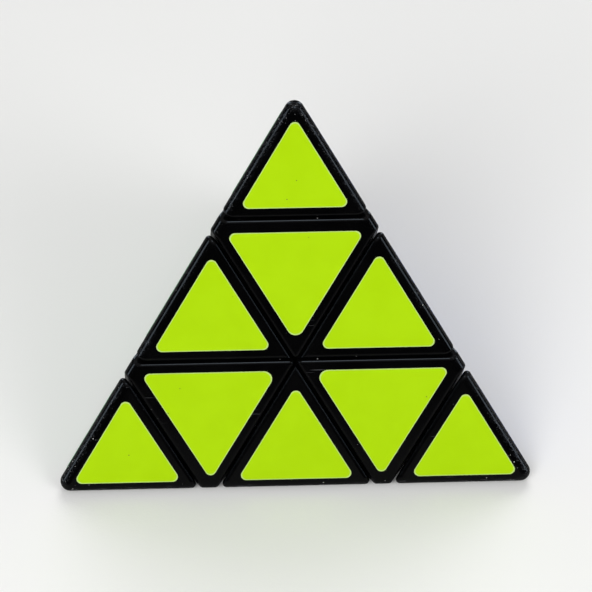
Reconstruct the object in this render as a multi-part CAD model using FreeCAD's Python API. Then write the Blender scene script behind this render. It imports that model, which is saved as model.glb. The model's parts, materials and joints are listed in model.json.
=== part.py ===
"""Pyramid twisty puzzle: a tetrahedron of four turning layers and four turning tips.

A ball-shaped core carries four posts, one towards each vertex. On each post turns an axial piece, and on the
axial piece turns a tip. One long screw per post passes through the tip's base and into the post, and the spring
under its head presses the tip on the axial piece and the axial piece on the core. The six edge pieces are held
by nothing but their feet, which lie in a hollow between the core's ball and the axial pieces' undersides.

The frame's origin is the core's centre, where the four turning axes cross. +Z points to the apex, and -Y is
the side of the front face. All lengths are in millimetres.
"""

import FreeCAD
import Part

import math
import os

from FreeCAD import Matrix, Placement, Vector

# Outside
OVERALL = 95.0  # from tip to tip, over the rounded corners
ROUND = 2.0  # radius of the outer edges and corners
TIP_CUT = 35.5  # height of the cut under a tip, from the centre along the tip's axis
GAP = 0.3  # slit between neighbouring pieces
CUT_ROUND = 0.8  # radius where an outer face meets a slit
SHELL = 1.8  # thickness of the outer shells

# Mechanism
BALL_R = 10.0  # the core's ball
POST_R = 4.0
POST_TOP = 31.0  # end of a post, from the centre
FOOT_CUT = 5.0  # distance of the cut planes from the centre, inside the hollow for the feet
HOLLOW_R = 3 * FOOT_CUT  # the feet turn inside this sphere, and no three layers share any of it
FOOT_GAP = 0.3  # between the ball and what slides on it
RUNNING = 0.08  # radial clearance of what turns on a post or in an axial piece
TUBE_R = 6.0  # outside of the axial piece's tube
WALL = 1.6  # walls of the inner mouldings
RIB = 1.6
CORING_R = 3.0  # round recesses that thin the ball's wall
CORING_DEPTH = 4.5

# Screws and springs
SCREW_R = 1.5
SCREW_END = 19.0  # the screw's point, from the centre
THREAD_PITCH = 0.8
THREAD_DEPTH = 0.25
SCREW_FIT = 0.02  # radial clearance of the thread in its post
SCREW_RUNNING = 0.1  # radial clearance of the tip's base on the screw
SCREW_POINT = 1.0
HEAD_R = 2.75
HEAD_H = 2.0
HEAD_CHAMFER = 0.7
SLOT_L = 3.6  # of the cross slot
SLOT_W = 0.8
SLOT_DEPTH = 1.1
WASHER_R = 3.0
WASHER_H = 0.5
SPRING_R = 2.45  # to the middle of the wire
SPRING_WIRE_R = 0.35
SPRING_H = 6.0
SPRING_TURNS = 5
SEAT_GAP = 0.05  # between the spring, its washer and the screw's head

# Tip's base
BASE_H = 2.0  # its plate
SPIGOT_GAP = 0.4  # between its spigot and the end of the post
CUP_R = 3.3  # inside of the cup round the spring
CUP_WALL = 1.0
CUP_H = 5.3

# Stickers
STICKER_H = 0.12
STICKER_ROUND = 1.1  # radius of the corners
AXIAL_ROUND = 1.7  # of the corner next to the face's centre
STICKER_RIM = 3.1  # from the sharp outer edge of a face
TIP_MARGIN = 2.55  # from a tip's cut
EDGE_MARGIN = 2.65  # from an edge piece's cuts
AXIAL_MARGIN = 2.0  # from an axial piece's slanted cuts

# What follows from these
SIDE = OVERALL + 2 * ROUND * (math.sqrt(6) - 1)  # the edge length before rounding
FACE_D = SIDE / (2 * math.sqrt(6))  # from the centre to a face
FACE_INNER_R = SIDE / (2 * math.sqrt(3))  # from a face's centre to its sides
LAYER_CUT = FACE_D / 3  # from the centre to a layer's cut, which then passes through the faces' centres
SLANT = 2 * math.sqrt(2) / 3  # sine of the angle between two turning axes
TIP_CUT_ON_FACE = (TIP_CUT - LAYER_CUT) / SLANT  # from a face's centre to the cut under a tip
HALF = GAP / 2
BIG = 4 * SIDE
OVERLAP = 1.0  # how far a cutting solid reaches beyond what it cuts
TOLERANCE = 0.0001
Z = Vector(0, 0, 1)
ORIGIN = Vector(0, 0, 0)

VERTICES = ("apex", "left", "right", "back")
AXES = {
    "apex": Vector(0, 0, 1),
    "left": Vector(-SLANT * math.sqrt(3) / 2, -SLANT / 2, -1 / 3),
    "right": Vector(SLANT * math.sqrt(3) / 2, -SLANT / 2, -1 / 3),
    "back": Vector(0, SLANT, -1 / 3),
}
# Each edge piece lies between two vertices. The first is the one whose axial piece carries its joint.
EDGES = (
    ("apex", "left"),
    ("apex", "right"),
    ("apex", "back"),
    ("left", "right"),
    ("right", "back"),
    ("back", "left"),
)


# Plain solids


def basis(z, y_hint):
    """The placement whose Z lies along z and whose Y leans towards y_hint."""
    y = y_hint - z * y_hint.dot(z)
    y.normalize()
    x = y.cross(z)
    return Placement(Matrix(x.x, y.x, z.x, 0, x.y, y.y, z.y, 0, x.z, y.z, z.z, 0, 0, 0, 0, 1))


def half_space(normal, distance):
    """Everything up to distance from the centre along normal, as a very large block."""
    block = Part.makeBox(BIG, BIG, BIG, Vector(-BIG / 2, -BIG / 2, distance - BIG))
    hint = Vector(0, 1, 0) if abs(normal.y) < 0.9 else Vector(1, 0, 0)
    block.Placement = basis(normal, hint)
    return block


def below(shape, name, distance):
    """The part of shape up to distance along the named axis."""
    return shape.common(half_space(AXES[name], distance))


def above(shape, name, distance):
    """The part of shape beyond distance along the named axis."""
    return shape.common(half_space(-AXES[name], -distance))


def tetrahedron(face_distance, radius):
    """The tetrahedron whose faces lie at this distance from the centre, with rounded edges and corners."""
    solid = half_space(-AXES["apex"], face_distance)
    for v in VERTICES[1:]:
        solid = solid.common(half_space(-AXES[v], face_distance))
    return solid.makeFillet(radius, solid.Edges)


def ball(radius):
    return Part.makeSphere(radius)


def rod(radius, low, high):
    """A cylinder on the Z axis."""
    return Part.makeCylinder(radius, high - low, Vector(0, 0, low), Z)


def tidy(shape):
    """shape with faces on one surface joined."""
    return shape.removeSplitter()


def seam_edges(shape, cuts):
    """The edges of shape between its outside and the cut planes, given as (axis name, distance)."""

    def on_a_cut(edge):
        middle = edge.valueAt((edge.FirstParameter + edge.LastParameter) / 2)
        return any(abs(AXES[n].dot(middle) - d) < TOLERANCE for n, d in cuts)

    def outside(edge):
        """True if one of the two faces that meet here looks away from the centre, as the outer faces do."""
        middle = edge.valueAt((edge.FirstParameter + edge.LastParameter) / 2)
        return max(-AXES[n].dot(middle) for n in VERTICES) > FACE_D - ROUND - TOLERANCE

    return [e for e in shape.Edges if on_a_cut(e) and outside(e)]


# The outside, cut into pieces round the apex and between the apex and the back


def outer_axial(hull):
    piece = above(hull, "apex", LAYER_CUT + HALF)
    piece = below(piece, "apex", TIP_CUT - HALF)
    for other in VERTICES[1:]:
        piece = below(piece, other, LAYER_CUT - HALF)
    return piece


def outer_edge(hull):
    piece = above(hull, "apex", LAYER_CUT + HALF)
    return above(piece, "back", LAYER_CUT + HALF)


def outer_tip(hull):
    return above(hull, "apex", TIP_CUT + HALF)


# Mouldings of the axial piece, on the apex


def axial_shell(hull, lining):
    piece = outer_axial(hull)
    cuts = [("apex", TIP_CUT - HALF)] + [(v, LAYER_CUT - HALF) for v in VERTICES[1:]]
    piece = piece.makeFillet(CUT_ROUND, seam_edges(piece, cuts))
    inside = below(lining, "apex", TIP_CUT - HALF - SHELL)
    return tidy(piece.cut(inside).cut(rod(TUBE_R, 0, BIG)))


def axial_foot(lining):
    inside = below(lining, "apex", TIP_CUT - HALF - SHELL)
    body = outer_axial(inside).cut(ball(HOLLOW_R + HALF))
    column = above(ball(SIDE), "apex", FOOT_CUT + HALF)
    for other in VERTICES[1:]:
        column = below(column, other, FOOT_CUT - HALF)
    foot = column.common(ball(HOLLOW_R - HALF))
    neck = above(column, "apex", LAYER_CUT + HALF).common(ball(HOLLOW_R + WALL))
    tube = rod(TUBE_R, HOLLOW_R, TIP_CUT - HALF)
    cavity = above(inside, "apex", LAYER_CUT + HALF + WALL)
    for other in VERTICES[1:]:
        cavity = below(cavity, other, LAYER_CUT - HALF - WALL)
    cavity = cavity.cut(ball(HOLLOW_R + HALF + WALL)).cut(tube)
    body = body.cut(cavity).fuse([foot, neck, tube])
    body = body.cut(ball(BALL_R + FOOT_GAP)).cut(rod(POST_R + RUNNING, 0, BIG))
    return tidy(body)


# Mouldings of the edge piece, between the apex and the back


def edge_shell(hull, lining):
    piece = outer_edge(hull)
    cuts = [("apex", LAYER_CUT + HALF), ("back", LAYER_CUT + HALF)]
    piece = piece.makeFillet(CUT_ROUND, seam_edges(piece, cuts))
    return tidy(piece.cut(lining))


def edge_foot(lining):
    body = outer_edge(lining)
    cavity = above(lining, "apex", LAYER_CUT + HALF + WALL)
    cavity = above(cavity, "back", LAYER_CUT + HALF + WALL)
    rib = Part.makeBox(RIB, BIG, BIG, Vector(-RIB / 2, -BIG / 2, -BIG / 2))
    foot = ball(HOLLOW_R - HALF).cut(ball(BALL_R + FOOT_GAP))
    foot = above(foot, "apex", FOOT_CUT + HALF)
    foot = above(foot, "back", FOOT_CUT + HALF)
    return tidy(body.cut(cavity.cut(rib)).fuse(foot))


# Mouldings of the tip, on the apex


def tip_cap(hull, lining):
    piece = outer_tip(hull)
    piece = piece.makeFillet(CUT_ROUND, seam_edges(piece, [("apex", TIP_CUT + HALF)]))
    return tidy(piece.cut(lining))


def tip_base(lining):
    bottom = TIP_CUT + HALF
    plate = below(outer_tip(lining), "apex", bottom + BASE_H)
    cup = rod(CUP_R + CUP_WALL, bottom, bottom + BASE_H + CUP_H)
    spigot = rod(POST_R, POST_TOP + SPIGOT_GAP, bottom)
    base = plate.fuse([cup, spigot])
    base = base.cut(rod(CUP_R, bottom + BASE_H, BIG))
    return tidy(base.cut(rod(SCREW_R + SCREW_RUNNING, 0, BIG)))


# The core, and what is screwed to it


def core_spider():
    core = ball(BALL_R)
    post = rod(POST_R, 0, POST_TOP)
    pilot = rod(SCREW_R + SCREW_FIT, SCREW_END - SCREW_R, POST_TOP + OVERLAP)
    recess = rod(CORING_R, BALL_R - CORING_DEPTH, BALL_R + OVERLAP)
    posts = [on_axis(post, v) for v in VERTICES]
    pilots = [on_axis(pilot, v) for v in VERTICES]
    recesses = [turned(recess, -AXES[v], AXES[VERTICES[n - 1]]) for n, v in enumerate(VERTICES)]
    return tidy(core.fuse(posts).cut(Part.makeCompound(pilots + recesses)))


def spring_bottom():
    return TIP_CUT + HALF + BASE_H + SEAT_GAP


def head_bottom():
    return spring_bottom() + SPRING_H + WASHER_H + 2 * SEAT_GAP


def axis_screw():
    """A screw whose thread is a row of ridges round its shank, from the point to the end of the post."""
    turns = int((POST_TOP - SCREW_END) / THREAD_PITCH)
    root = SCREW_R - THREAD_DEPTH
    outline = [Vector(0, 0, SCREW_END - SCREW_POINT), Vector(root, 0, SCREW_END)]
    for n in range(turns):
        z = SCREW_END + n * THREAD_PITCH
        outline.append(Vector(SCREW_R, 0, z + THREAD_PITCH / 2))
        outline.append(Vector(root, 0, z + THREAD_PITCH))
    thread_end = SCREW_END + turns * THREAD_PITCH
    top = head_bottom() + HEAD_H
    outline += [
        Vector(SCREW_R, 0, thread_end + THREAD_PITCH / 2),
        Vector(SCREW_R, 0, head_bottom()),
        Vector(HEAD_R, 0, head_bottom()),
        Vector(HEAD_R, 0, top - HEAD_CHAMFER),
        Vector(HEAD_R - HEAD_CHAMFER, 0, top),
        Vector(0, 0, top),
    ]
    screw = Part.Face(Part.makePolygon(outline + outline[:1])).revolve(ORIGIN, Z, 360)
    for length, width in ((SLOT_L, SLOT_W), (SLOT_W, SLOT_L)):
        corner = Vector(-length / 2, -width / 2, top - SLOT_DEPTH)
        screw = screw.cut(Part.makeBox(length, width, SLOT_DEPTH + OVERLAP, corner))
    return screw


def washer():
    low = spring_bottom() + SPRING_H + SEAT_GAP
    return rod(WASHER_R, low, low + WASHER_H).cut(rod(SCREW_R + SCREW_RUNNING, 0, BIG))


def tension_spring():
    low = spring_bottom() + SPRING_WIRE_R
    rise = SPRING_H - 2 * SPRING_WIRE_R
    helix = Part.makeHelix(rise / SPRING_TURNS, rise, SPRING_R)
    helix.Placement = Placement(Vector(0, 0, low), FreeCAD.Rotation())
    wire = Part.Wire(Part.makeCircle(SPRING_WIRE_R, Vector(SPRING_R, 0, low), Vector(0, 1, 0)))
    return Part.Wire(helix.Edges).makePipeShell([wire], True, True)


# Stickers


def rounded_triangle(corners, radii):
    """A flat equilateral triangle with the given radius at each of its corners."""
    middle = (corners[0] + corners[1] + corners[2]) * (1 / 3)
    arcs = []
    for n, corner in enumerate(corners):
        ends = []
        for other in (corners[n - 1], corners[(n + 1) % 3]):
            ends.append(corner + (other - corner).normalize() * (radii[n] * math.sqrt(3)))
        crown = corner + (middle - corner).normalize() * radii[n]
        arcs.append(Part.Arc(ends[0], crown, ends[1]))
    lines = [Part.LineSegment(arcs[n - 1].EndPoint, arc.StartPoint) for n, arc in enumerate(arcs)]
    outline = [curve.toShape() for pair in zip(lines, arcs) for curve in pair]
    return Part.Face(Part.Wire(outline))


def sticker(face, sides, inner_round=STICKER_ROUND):
    """A rounded triangle on the face opposite the named vertex. sides gives each side's distance from the
    face's centre, measured towards each of the face's own vertices. inner_round is the radius of the corner
    that is nearest to the face's centre."""
    out = -AXES[face]
    centre = out * FACE_D
    towards = {v: (AXES[v] + AXES[face] * (1 / 3)).normalize() for v in sides}
    corners = []
    for a, b in ((0, 1), (1, 2), (2, 0)):
        (v, s), (w, t) = (list(sides.items())[n] for n in (a, b))
        corners.append(centre + (towards[v] * (s + t / 2) + towards[w] * (t + s / 2)) * (4 / 3))
    corners.sort(key=lambda corner: (corner - centre).Length)
    slab = rounded_triangle(corners, (inner_round, STICKER_ROUND, STICKER_ROUND))
    return slab.extrude(out * STICKER_H)


def tip_stickers():
    rim = STICKER_RIM - FACE_INNER_R
    cut = TIP_CUT_ON_FACE + TIP_MARGIN
    return [
        sticker(face, {v: cut if v == "apex" else rim for v in VERTICES if v != face})
        for face in VERTICES[1:]
    ]


def axial_stickers():
    cut = TIP_CUT_ON_FACE - TIP_MARGIN
    stickers = []
    for face in VERTICES[1:]:
        sides = {v: cut if v == "apex" else -AXIAL_MARGIN for v in VERTICES if v != face}
        stickers.append(sticker(face, sides, AXIAL_ROUND))
    return stickers


def edge_stickers():
    ends = ("apex", "back")
    rim = STICKER_RIM - FACE_INNER_R
    return [
        sticker(face, {v: EDGE_MARGIN if v in ends else rim for v in VERTICES if v != face})
        for face in ("left", "right")
    ]


# Placing and writing


def turned(shape, z, y_hint):
    """A copy of shape with its Z axis laid along z."""
    copy = shape.copy()
    copy.Placement = basis(z, y_hint).multiply(shape.Placement)
    return copy


def on_axis(shape, vertex, towards=None):
    """A copy of a shape made on the apex, on another vertex. Its back then lies towards the second vertex."""
    towards = towards or VERTICES[(VERTICES.index(vertex) + 1) % 4]
    return turned(shape, AXES[vertex], AXES[towards])


def write(name, solids):
    solids = [s for shape in solids for s in shape.Solids]
    for s in solids:
        if not s.isValid() or s.Volume <= 0:
            raise ValueError(f"{name} holds a solid that isn't valid")
    shape = solids[0] if len(solids) == 1 else Part.makeCompound(solids)
    shape.exportStep(os.path.join("parts", name + ".step"))


def main():
    os.makedirs("parts", exist_ok=True)
    hull = tetrahedron(FACE_D, ROUND)
    lining = tetrahedron(FACE_D - SHELL, ROUND - SHELL)

    write("core_spider", [core_spider()])
    write("axis_screws", [on_axis(axis_screw(), v) for v in VERTICES])
    write("tension_springs", [on_axis(tension_spring(), v) for v in VERTICES])
    write("spring_washers", [on_axis(washer(), v) for v in VERTICES])

    at_vertices = {
        "tip_cap": [tip_cap(hull, lining)],
        "tip_base": [tip_base(lining)],
        "tip_stickers": tip_stickers(),
        "axial_shell": [axial_shell(hull, lining)],
        "axial_foot": [axial_foot(lining)],
        "axial_stickers": axial_stickers(),
    }
    for v in VERTICES:
        for kind, shapes in at_vertices.items():
            write(f"{kind}_{v}", [on_axis(s, v) for s in shapes])

    at_edges = {
        "edge_shell": [edge_shell(hull, lining)],
        "edge_foot": [edge_foot(lining)],
        "edge_stickers": edge_stickers(),
    }
    for v, w in EDGES:
        for kind, shapes in at_edges.items():
            write(f"{kind}_{v}_{w}", [on_axis(s, v, w) for s in shapes])


main()
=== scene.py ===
"""The looks of a pyramid twisty puzzle: glossy black plastic pieces and coloured vinyl stickers.

The plastic and metal parts are the frame's own meshes with new materials. The stickers are modelled here,
one piece each, on the outlines of the frame's sticker nodes. All lengths are in metres, and all colours are
in linear light.
"""

import json
import math

import bmesh
import bpy
from mathutils import Matrix, Vector, noise

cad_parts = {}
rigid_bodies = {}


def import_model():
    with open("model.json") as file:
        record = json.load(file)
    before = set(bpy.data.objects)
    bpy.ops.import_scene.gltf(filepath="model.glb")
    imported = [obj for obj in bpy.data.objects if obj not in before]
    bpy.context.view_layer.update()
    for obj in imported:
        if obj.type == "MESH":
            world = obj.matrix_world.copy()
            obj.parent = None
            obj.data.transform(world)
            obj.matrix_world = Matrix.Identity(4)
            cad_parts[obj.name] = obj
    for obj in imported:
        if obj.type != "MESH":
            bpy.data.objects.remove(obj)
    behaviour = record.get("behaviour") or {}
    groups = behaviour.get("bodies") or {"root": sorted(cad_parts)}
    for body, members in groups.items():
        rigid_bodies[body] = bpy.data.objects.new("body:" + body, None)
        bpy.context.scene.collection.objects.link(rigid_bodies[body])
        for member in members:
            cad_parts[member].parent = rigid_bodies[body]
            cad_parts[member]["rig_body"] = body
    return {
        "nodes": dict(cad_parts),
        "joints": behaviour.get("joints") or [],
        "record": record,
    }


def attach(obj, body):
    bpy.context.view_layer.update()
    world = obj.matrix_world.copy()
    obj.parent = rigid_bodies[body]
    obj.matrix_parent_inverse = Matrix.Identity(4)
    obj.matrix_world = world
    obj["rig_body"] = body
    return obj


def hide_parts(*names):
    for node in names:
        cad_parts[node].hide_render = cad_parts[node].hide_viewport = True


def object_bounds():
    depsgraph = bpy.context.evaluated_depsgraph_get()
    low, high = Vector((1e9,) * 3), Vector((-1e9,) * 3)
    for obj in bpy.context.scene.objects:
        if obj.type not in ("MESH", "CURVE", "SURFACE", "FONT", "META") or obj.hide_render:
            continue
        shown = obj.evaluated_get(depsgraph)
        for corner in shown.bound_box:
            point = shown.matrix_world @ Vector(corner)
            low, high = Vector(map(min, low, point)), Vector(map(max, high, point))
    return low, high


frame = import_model()
cad_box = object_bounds()

MM = 0.001

# Camera, placed round the puzzle's centre
CAMERA_AZIMUTH = -3.0
CAMERA_ELEVATION = 43.1
CAMERA_DISTANCE = 0.788
CAMERA_ROLL = 0.9
CAMERA_LENS = 235
CAMERA_AIM = Vector((0.9, 0, 6.6)) * MM

# Lights: name, azimuth, elevation, distance, size, power
LIGHTS = (
    ("key", -24, 34, 0.9, (0.5, 0.5), 5.0),
    ("fill", 44, 30, 1.0, (0.5, 0.5), 3.4),
    ("back", 170, 45, 1.0, (0.6, 0.6), 4.0),
)
MIRRORED_LIGHTS = (
    ("left_strip", -84, 10, 0.5, (0.10, 0.3), 0.2),
    ("right_strip", 82, 10, 0.5, (0.10, 0.3), 0.2),
    ("top_panel", 12, 76, 0.6, (0.16, 0.16), 0.25),
    ("back_left_strip", -155, 14, 0.6, (0.12, 0.3), 0.3),
    ("back_right_strip", 150, 14, 0.6, (0.12, 0.3), 0.3),
)
WHITE = (1, 1, 1)
COOL = (0.72, 0.86, 1.0)

# Floor and room
ROOM = (0.76, 0.76, 0.75)
FLOOR_RADIUS = 4.0
FLOOR_SIDES = 96
FLOOR_END = (0.22, 0.9)  # between these distances from the centre it runs out into the room's colour
FLOOR_FRONT = (-0.25, 0.05)  # between these places along Y its reflection brightens towards the back

# Stickers
RIM_RADIUS = 0.05 * MM
RIM_STEPS = 4
# the painted highlight of a sticker's edge runs this far in over its top
PALE_BAND = 0.30 * MM
RINGS = 14
FLAT = 0.01 * MM  # points less than this below the top belong to the top
MERGED = 0.0005 * MM  # vertices this close are one
UNEVENNESS = 0.012 * MM
SWELL_SIZE = 5 * MM
SWELL_START = 1.2 * MM  # how far in from the pale band the unevenness is full
SWELL_SHIFT = Vector((3, 7, 11))
PRINT, CUT_EDGE_HIGHLIGHT = 0, 1  # a sticker's material slots

# Wear
EDGE_LEVEL = 1.0 * MM  # below the faces' level, where the wear along an outer edge is full
TIP_END = 55 * MM  # from the centre, where the wear at a tip is full
SPECK_CORE = 0.5  # the solid share of a speck's radius
SCRATCH_FADE = 0.06  # the rise in noise from a scratch's side to its middle

# The faces, by the vertex opposite each, and the colours of their stickers
FACES = {
    "back": ("front", "sticker_yellow_green", (0.338, 0.562, 0.0)),
    "left": ("right", "sticker_blue", (0.008, 0.098, 0.56)),
    "right": ("left", "sticker_green", (0.0025, 0.33, 0.055)),
    "apex": ("bottom", "sticker_red", (0.66, 0.012, 0.014)),
}
AXES = {
    j["name"].split("_")[0]: Vector(j["axis"])
    for j in frame["joints"]
    if j["name"].endswith("_layer_turn")
}


# Building materials


def rgb(r, g, b):
    return (r, g, b, 1.0)


class Shader:
    """The node tree of a material or world, with short ways to add to it."""

    def __init__(self, name, world=False):
        self.owner = (bpy.data.worlds if world else bpy.data.materials).new(name)
        self.owner.use_nodes = True
        self.tree = self.owner.node_tree
        self.surface = self.tree.nodes["Background" if world else "Principled BSDF"]
        self.coords = self.add("ShaderNodeTexCoord").outputs["Generated" if world else "Object"]

    def add(self, kind, inputs=None, **properties):
        node = self.tree.nodes.new(kind)
        for key, value in properties.items():
            setattr(node, key, value)
        for key, value in (inputs or {}).items():
            self.set(node.inputs[key], value)
        return node

    def set(self, socket, value):
        if isinstance(value, bpy.types.NodeSocket):
            self.tree.links.new(value, socket)
        else:
            socket.default_value = value

    def finish(self, **inputs):
        """Sets the surface's inputs, written with _ for a space."""
        for key, value in inputs.items():
            self.set(self.surface.inputs[key.replace("_", " ")], value)
        return self.owner

    def maths(self, operation, a, b):
        return self.add("ShaderNodeMath", {0: a, 1: b}, operation=operation).outputs[0]

    def times(self, a, b):
        return self.maths("MULTIPLY", a, b)

    def plus(self, a, b):
        return self.maths("ADD", a, b)

    def most(self, a, b):
        return self.maths("MAXIMUM", a, b)

    def least(self, a, b):
        return self.maths("MINIMUM", a, b)

    def distance(self):
        """The point's distance from the origin."""
        return self.add("ShaderNodeVectorMath", {0: self.coords}, operation="LENGTH").outputs["Value"]

    def along(self, axis):
        """The point's place along an axis."""
        node = self.add("ShaderNodeVectorMath", {0: self.coords, 1: axis}, operation="DOT_PRODUCT")
        return node.outputs["Value"]

    def noise(self, size, detail, vector=None):
        """Noise between 0 and 1 with features of about this size."""
        inputs = {"Vector": vector or self.coords, "Scale": 1 / size, "Detail": detail}
        return self.add("ShaderNodeTexNoise", inputs).outputs["Fac"]

    def streaks(self, sizes, detail, turn=(0, 0, 0)):
        """Noise between 0 and 1 with features of about these sizes along three axes, which are turned."""
        inputs = {"Vector": self.coords, "Scale": [1 / size for size in sizes], "Rotation": turn}
        return self.noise(1.0, detail, self.add("ShaderNodeMapping", inputs).outputs["Vector"])

    def ramp(self, value, low, high, low_out=0.0, high_out=1.0):
        """Maps value between low and high to the two outputs, smoothly."""
        inputs = {0: value, 1: low, 2: high, 3: low_out, 4: high_out}
        return self.add("ShaderNodeMapRange", inputs, interpolation_type="SMOOTHSTEP").outputs[0]

    def mix(self, share, a, b):
        """A mix of two colours. The node's sockets 6 and 7, and its output 2, are the ones for colours."""
        return self.add("ShaderNodeMix", {0: share, 6: a, 7: b}, data_type="RGBA").outputs[2]

    def specks(self, spacing, size, share):
        """Small round specks in a share of the cells that lie this far apart."""
        cells = self.add("ShaderNodeTexVoronoi", {"Vector": self.coords, "Scale": 1 / spacing})
        dot = self.ramp(cells.outputs["Distance"], size / spacing, size / spacing * SPECK_CORE)
        split = self.add("ShaderNodeSeparateColor", {"Color": cells.outputs["Color"]})
        return self.times(dot, self.maths("LESS_THAN", split.outputs["Red"], share))

    def scratches(self, length, width, turn, rarity=0.70):
        """Thin lines that run along one direction and fade in and out."""
        return self.ramp(self.streaks((length, width, width), 0.0, turn), rarity, rarity + SCRATCH_FADE)

    def bump(self, *layers):
        """A normal from (height 0 to 1, depth) pairs."""
        normal = None
        for height, depth in layers:
            inputs = {"Height": height, "Distance": depth, "Strength": 1.0}
            if normal is not None:
                inputs["Normal"] = normal
            normal = self.add("ShaderNodeBump", inputs).outputs["Normal"]
        return normal


# The shells' black plastic


def near_tips(shader, *starts):
    """For each start, 0 up to that distance from the centre and 1 at the ends of the tips."""
    distance = shader.distance()
    return [shader.ramp(distance, start, TIP_END) for start in starts]


def near_edges(shader, *reaches):
    """For each reach, 1 along the puzzle's outer edges and 0 on the flats that far from them.

    A point is as near to an edge as it is to the second nearest of the four faces.
    """
    a, b, c, d = [shader.along(-axis) for axis in AXES.values()]
    lower = shader.most(shader.least(a, b), shader.least(c, d))
    upper = shader.least(shader.most(a, b), shader.most(c, d))
    second = shader.most(lower, upper)
    face = -cad_box[0].z
    return [shader.ramp(second, face - reach, face - EDGE_LEVEL) for reach in reaches]


def shell_dust(s, worn, rims, ends):
    """Fine and coarse specks, most of them where the plastic is worn and at the ends of the tips."""
    fine_share = s.plus(s.times(worn, 0.24), s.times(rims, 0.02))
    fine_share = s.plus(fine_share, s.times(ends, 0.3))
    fine = s.specks(0.62 * MM, 0.10 * MM, s.plus(fine_share, 0.006))
    coarse_share = s.plus(s.times(worn, 0.08), s.times(ends, 0.6))
    coarse = s.specks(1.1 * MM, 0.18 * MM, s.plus(coarse_share, 0.004))
    return s.most(s.times(fine, 0.5), s.times(coarse, 0.9))


def shell_scratches(s, worn):
    """Short nicks where the plastic is worn, and a few fine lines anywhere."""
    nick = s.times(s.scratches(3 * MM, 0.13 * MM, (0.3, 0.5, 0.9)), worn)
    sparse = s.ramp(s.noise(9 * MM, 0.0), 0.60, 0.68, high_out=0.3)
    hairline = s.times(s.scratches(7 * MM, 0.16 * MM, (0.05, 0.1, 0.02), rarity=0.78), sparse)
    return s.most(s.times(nick, 0.5), hairline)


def gloss_black():
    """Polished black, worn and dusty in places on the outer edges, most of all at the tips. The worn streaks
    on the bevels are a lighter bluish grey: partly real rubbing, partly a painted sheen.
    """
    black = rgb(0.0005, 0.0005, 0.0006)
    smudged = rgb(0.0010, 0.0010, 0.0012)
    # the edge streaks' lighter bluish grey: partly worn plastic, partly a painted sheen
    rubbed_and_sheen = rgb(0.013, 0.015, 0.019)
    scratched = rgb(0.22, 0.23, 0.24)
    dusty = rgb(0.46, 0.46, 0.45)

    s = Shader("gloss_black_abs")
    rounds, rims = near_edges(s, 2.4 * MM, 5 * MM)
    tips, ends = near_tips(s, 34 * MM, 50 * MM)
    patches = s.ramp(s.noise(7 * MM, 2.0), 0.50, 0.64)
    worn = s.times(rounds, s.most(patches, tips))
    smudge = s.noise(6 * MM, 3.0)
    streak = s.streaks((3 * MM, 0.3 * MM, 0.7 * MM), 3.0, (0.4, 0.7, 1.0))
    scuff_and_sheen = s.times(s.ramp(streak, 0.50, 0.68), worn)
    dust = shell_dust(s, worn, rims, ends)

    colour = s.mix(s.ramp(smudge, 0.3, 0.7), black, smudged)
    # streaks along the bevels: partly real rubbing, partly a painted bluish sheen
    colour = s.mix(scuff_and_sheen, colour, rubbed_and_sheen)
    colour = s.mix(shell_scratches(s, worn), colour, scratched)
    colour = s.mix(dust, colour, dusty)
    rough = s.ramp(smudge, 0.35, 0.75, low_out=0.13, high_out=0.22)
    rough = s.plus(rough, s.times(s.most(scuff_and_sheen, dust), 0.22))
    normal = s.bump((s.noise(1.8 * MM, 1.0), 0.004 * MM), (scuff_and_sheen, -0.003 * MM), (dust, 0.006 * MM))
    return s.finish(Base_Color=colour, Roughness=rough, Normal=normal, IOR=1.5, Specular_IOR_Level=0.40)


# Materials inside the puzzle


def inner_black():
    """As-moulded black plastic with flow marks, polished where the pieces rub on each other."""
    plain = rgb(0.0065, 0.0066, 0.0072)
    polished = rgb(0.011, 0.011, 0.012)
    flow_mark = rgb(0.016, 0.016, 0.017)

    s = Shader("moulded_black_abs")
    grain = s.noise(0.22 * MM, 3.0)
    worn = s.ramp(s.noise(4 * MM, 2.0), 0.45, 0.7)
    flow = s.streaks((14 * MM, 14 * MM, 2.5 * MM), 2.0)
    colour = s.mix(worn, plain, polished)
    colour = s.mix(s.ramp(flow, 0.5, 0.75, high_out=0.4), colour, flow_mark)
    rough = s.ramp(worn, 0.0, 1.0, low_out=0.5, high_out=0.34)
    normal = s.bump((grain, 0.012 * MM), (flow, 0.01 * MM))
    return s.finish(Base_Color=colour, Roughness=rough, Normal=normal)


def core_nylon():
    """The core's nylon: a fine grain and cloudy patches."""
    dark = rgb(0.016, 0.016, 0.017)
    light = rgb(0.027, 0.027, 0.028)

    s = Shader("moulded_nylon")
    grain = s.noise(0.3 * MM, 3.0)
    cloud = s.noise(5 * MM, 2.0)
    colour = s.mix(s.ramp(cloud, 0.35, 0.7), dark, light)
    rough = s.ramp(cloud, 0.3, 0.7, low_out=0.42, high_out=0.55)
    return s.finish(Base_Color=colour, Roughness=rough, Normal=s.bump((grain, 0.01 * MM)))


def plated_steel(name, colour, drawn):
    """Bright steel with duller spots. drawn is the length of its drawing marks."""
    dull = [c * 0.7 for c in colour]

    s = Shader(name)
    marks = s.streaks((0.12 * MM, 0.12 * MM, drawn), 2.0)
    spots = s.ramp(s.noise(1.2 * MM, 3.0), 0.55, 0.8)
    base = s.mix(spots, rgb(*colour), rgb(*dull))
    rough = s.plus(s.ramp(marks, 0.3, 0.7, low_out=0.18, high_out=0.34), s.times(spots, 0.15))
    normal = s.bump((marks, 0.006 * MM))
    return s.finish(Base_Color=base, Metallic=1.0, Roughness=rough, Normal=normal)


# Materials of the stickers


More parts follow.
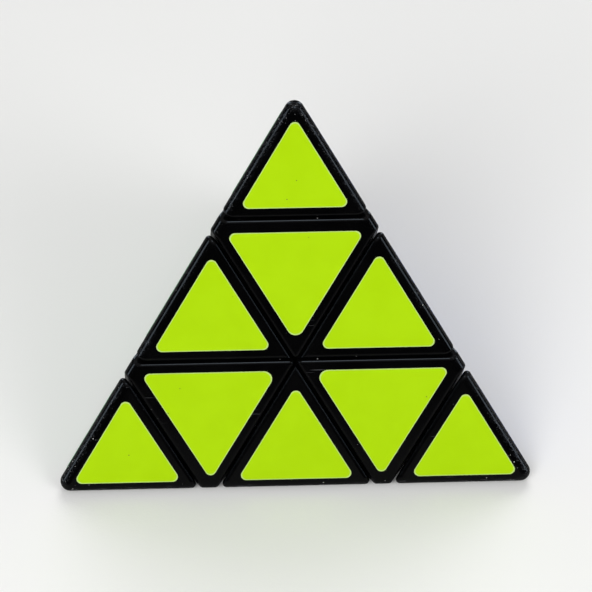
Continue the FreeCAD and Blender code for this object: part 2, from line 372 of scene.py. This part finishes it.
def vinyl(name, colour):
    """The printed film: an even colour with a fine grain, a few specks of dust and a soft shine. A faint
    painted glow in its own colour keeps it from darkening in shade.
    """
    deep = [c * 0.965 for c in colour]
    dusty = rgb(0.05, 0.05, 0.03)

    s = Shader(name)
    cloud = s.noise(6 * MM, 2.0)
    grain = s.noise(0.12 * MM, 2.0)
    dust = s.specks(2.6 * MM, 0.15 * MM, 0.4)
    scratch = s.scratches(11 * MM, 0.12 * MM, (0.9, 0.1, 0.4))
    base = s.mix(s.ramp(cloud, 0.3, 0.7), rgb(*deep), rgb(*colour))
    base = s.mix(dust, base, dusty)
    rough = s.plus(s.ramp(cloud, 0.3, 0.7, low_out=0.28, high_out=0.36), s.times(scratch, 0.12))
    normal = s.bump((grain, 0.002 * MM), (scratch, -0.002 * MM), (dust, 0.015 * MM))
    s.finish(Base_Color=base, Roughness=rough, Normal=normal, IOR=1.45, Specular_IOR_Level=0.16)
    # painted glow: the film emits a little of its own colour, so it darkens less in shade
    return s.finish(Emission_Color=base, Emission_Strength=0.06)


def cut_edge_highlight(name, colour):
    """The sticker's cut edge and a narrow band of its top, in a paler colour that is a painted highlight
    along the edge.
    """
    # painted highlight: the edge's colour is lifted towards white
    pale = [c + (1 - c) * 0.17 for c in colour]
    shaded = [c * 0.88 for c in pale]

    s = Shader(name)
    fibre = s.noise(0.15 * MM, 3.0)
    base = s.mix(s.ramp(fibre, 0.3, 0.7), rgb(*pale), rgb(*shaded))
    return s.finish(Base_Color=base, Roughness=0.5, Normal=s.bump((fibre, 0.004 * MM)))


# Stickers


def linked(name, data):
    """A new object in the scene."""
    thing = bpy.data.objects.new(name, data)
    bpy.context.scene.collection.objects.link(thing)
    return thing


def solids(mesh):
    """The vertices of each connected part of a mesh."""
    seen = set()
    parts = []
    for start in mesh.verts:
        if start in seen:
            continue
        seen.add(start)
        part = [start]
        for vert in part:
            for edge in vert.link_edges:
                other = edge.other_vert(vert)
                if other not in seen:
                    seen.add(other)
                    part.append(other)
        parts.append(part)
    return parts


def films(node):
    """For each sticker of a sticker node: (its points, the name of the vertex opposite its face)."""
    mesh = bmesh.new()
    mesh.from_mesh(node.data)
    bmesh.ops.remove_doubles(mesh, verts=mesh.verts, dist=MERGED)
    found = []
    for part in solids(mesh):
        points = [vert.co.copy() for vert in part]
        middle = sum(points, Vector()) / len(points)
        found.append((points, min(AXES, key=lambda v: AXES[v].dot(middle))))
    mesh.free()
    return found


def flat_outline(points, out, high):
    """The centre of a sticker's top, and its outline in order round it, both moved to the origin's level."""
    outline = [p - out * p.dot(out) for p in points if p.dot(out) > high - FLAT]
    centre = sum(outline, Vector()) / len(outline)
    u = out.orthogonal().normalized()
    v = out.cross(u)
    outline.sort(key=lambda p: math.atan2((p - centre).dot(v), (p - centre).dot(u)))
    return centre, outline


def rim_profile(low, high):
    """(how far in, at what height), from the sticker's foot over its rounded rim to its pale band's end."""
    profile = [(0.0, low)]
    for step in range(RIM_STEPS + 1):
        angle = math.pi / 2 * step / RIM_STEPS
        profile.append((RIM_RADIUS * (1 - math.cos(angle)), high - RIM_RADIUS * (1 - math.sin(angle))))
    profile.append((PALE_BAND, high))
    return profile


def film_rows(mesh, centre, outline, out, profile):
    """Rings of vertices along the profile, and then inwards over the top, slightly uneven as vinyl lies."""
    rows = []
    for inset, height in profile:
        rows.append([mesh.verts.new(p + (centre - p).normalized() * inset + out * height) for p in outline])
    top = [vert.co.copy() for vert in rows[-1]]
    flat_centre = centre + out * profile[-1][1]
    reach = min((p - centre).length for p in outline)
    for ring in range(1, RINGS):
        share = 1 - ring / RINGS
        edge = min(1.0, (1 - share) * reach / SWELL_START)
        row = []
        for p in top:
            spot = flat_centre + (p - flat_centre) * share
            swell = (noise.noise(spot * (1 / SWELL_SIZE) + SWELL_SHIFT) - 1) / 2 * UNEVENNESS
            row.append(mesh.verts.new(spot + out * swell * edge))
        rows.append(row)
    return rows


def cover(mesh, rows, rim_rows):
    """Faces between the rows, over the last and under the first."""
    count = len(rows[0])
    for n in range(len(rows) - 1):
        for k in range(count):
            m = (k + 1) % count
            quad = mesh.faces.new((rows[n][k], rows[n][m], rows[n + 1][m], rows[n + 1][k]))
            quad.material_index = CUT_EDGE_HIGHLIGHT if n < rim_rows else PRINT
            quad.smooth = True
    cap = mesh.faces.new(rows[-1])
    cap.smooth = True
    base = mesh.faces.new(list(reversed(rows[0])))
    base.material_index = CUT_EDGE_HIGHLIGHT
    bmesh.ops.recalc_face_normals(mesh, faces=mesh.faces)


def build_sticker(name, points, face, materials):
    """A thin film with rounded edges on the outline of the given points."""
    out = -AXES[face]
    low = min(p.dot(out) for p in points)
    high = max(p.dot(out) for p in points)
    profile = rim_profile(low, high)
    mesh = bmesh.new()
    rows = film_rows(mesh, *flat_outline(points, out, high), out, profile)
    cover(mesh, rows, len(profile) - 1)
    data = bpy.data.meshes.new(name)
    mesh.to_mesh(data)
    mesh.free()
    for material in materials:
        data.materials.append(material)
    return linked(name, data)


def add_stickers():
    materials = {}
    for vertex, (_, slot, colour) in FACES.items():
        materials[vertex] = [vinyl(f"{slot}_vinyl", colour), cut_edge_highlight(f"{slot}_edge", colour)]
    for node_name, node in frame["nodes"].items():
        if "_stickers_" not in node_name:
            continue
        kind, vertices = node_name.split("_stickers_")
        for points, face in films(node):
            face_name, slot, _ = FACES[face]
            piece = build_sticker(f"sticker_{face_name}_{kind}_{vertices}", points, face, materials[face])
            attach(piece, node["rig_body"])
            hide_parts(node_name)


# The frame's own parts


def finish_parts():
    finishes = {
        "shell_plastic": gloss_black(),
        "inner_plastic": inner_black(),
        "core_plastic": core_nylon(),
        "zinc_plated_steel": plated_steel("zinc_plated_steel_look", (0.62, 0.63, 0.66), 1.5 * MM),
        "spring_steel": plated_steel("spring_steel_look", (0.5, 0.5, 0.52), 4 * MM),
    }
    slots = {part["node"]: part["material_slot"] for part in frame["record"]["subparts"]}
    for name, node in frame["nodes"].items():
        if slots[name] in finishes:
            node.data.materials.clear()
            node.data.materials.append(finishes[slots[name]])


# Stage


def direction(azimuth, elevation):
    """From the puzzle's centre, with azimuth 0 at its front and positive to its right."""
    a, e = math.radians(azimuth), math.radians(elevation)
    return Vector((math.sin(a) * math.cos(e), -math.cos(a) * math.cos(e), math.sin(e)))


def paper():
    """Pale paper that runs out into the room's colour.

    The puzzle mirrors it dimly, and hardly at all in front, so that the black plastic stays black.
    """
    s = Shader("paper_floor")
    cloud = s.noise(0.35, 3.0)
    fibre = s.noise(0.6 * MM, 3.0)
    pale = s.mix(cloud, rgb(0.80, 0.80, 0.79), rgb(0.84, 0.84, 0.83))
    front = s.ramp(s.along((0, 1, 0)), *FLOOR_FRONT)
    mirrored = s.mix(front, rgb(0.009, 0.009, 0.010), rgb(0.18, 0.18, 0.18))
    rays = s.add("ShaderNodeLightPath").outputs
    far = s.times(s.ramp(s.distance(), *FLOOR_END), rays["Is Camera Ray"])
    colour = s.mix(far, s.mix(rays["Is Glossy Ray"], pale, mirrored), rgb(0, 0, 0))
    s.finish(Base_Color=colour, Roughness=0.8, Normal=s.bump((fibre, 0.02 * MM)), Specular_IOR_Level=0.1)
    return s.finish(Emission_Color=rgb(*ROOM), Emission_Strength=far)


def floor():
    rim = [direction(k * 360 / FLOOR_SIDES, 0) * FLOOR_RADIUS for k in range(FLOOR_SIDES)]
    data = bpy.data.meshes.new("floor")
    data.from_pydata([(p.x, p.y, cad_box[0].z) for p in rim], [], [list(range(FLOOR_SIDES))])
    data.materials.append(paper())
    linked("floor", data)


def surroundings():
    """A pale room. In the puzzle's gloss it is dark, but for the ceiling."""
    s = Shader("studio", world=True)
    height = s.along((0, 0, 1))
    mirrored = s.mix(s.ramp(height, 0.2, 0.9), rgb(0.007, 0.007, 0.008), rgb(0.19, 0.19, 0.195))
    rays = s.add("ShaderNodeLightPath").outputs
    colour = s.mix(rays["Is Glossy Ray"], rgb(0.36, 0.36, 0.36), mirrored)
    colour = s.mix(rays["Is Camera Ray"], colour, rgb(*ROOM))
    bpy.context.scene.world = s.finish(Color=colour)


def soft_light(name, azimuth, elevation, distance, size, power, colour, mirrored):
    """A panel that faces the centre. It either lights the scene or only shows in the puzzle's gloss."""
    lamp = bpy.data.lights.new(name, "AREA")
    lamp.shape = "RECTANGLE"
    lamp.size, lamp.size_y = size
    lamp.energy = power
    lamp.color = colour
    thing = linked(name, lamp)
    back = direction(azimuth, elevation)
    thing.location = back * distance
    thing.rotation_mode = "QUATERNION"
    thing.rotation_quaternion = back.to_track_quat("Z", "Y")
    thing.visible_camera = False
    thing.visible_glossy = mirrored
    thing.visible_diffuse = not mirrored


def lights():
    for light in LIGHTS:
        soft_light(*light, WHITE, mirrored=False)
    for light in MIRRORED_LIGHTS:
        soft_light(*light, COOL, mirrored=True)


def camera():
    data = bpy.data.cameras.new("camera")
    data.lens = CAMERA_LENS
    thing = linked("camera", data)
    thing.location = direction(CAMERA_AZIMUTH, CAMERA_ELEVATION) * CAMERA_DISTANCE
    thing.rotation_mode = "QUATERNION"
    roll = Matrix.Rotation(math.radians(CAMERA_ROLL), 4, "Z").to_quaternion()
    thing.rotation_quaternion = (thing.location - CAMERA_AIM).to_track_quat("Z", "Y") @ roll
    bpy.context.scene.camera = thing


finish_parts()
add_stickers()
floor()
surroundings()
lights()
camera()
bpy.context.scene.view_settings.view_transform = "Standard"
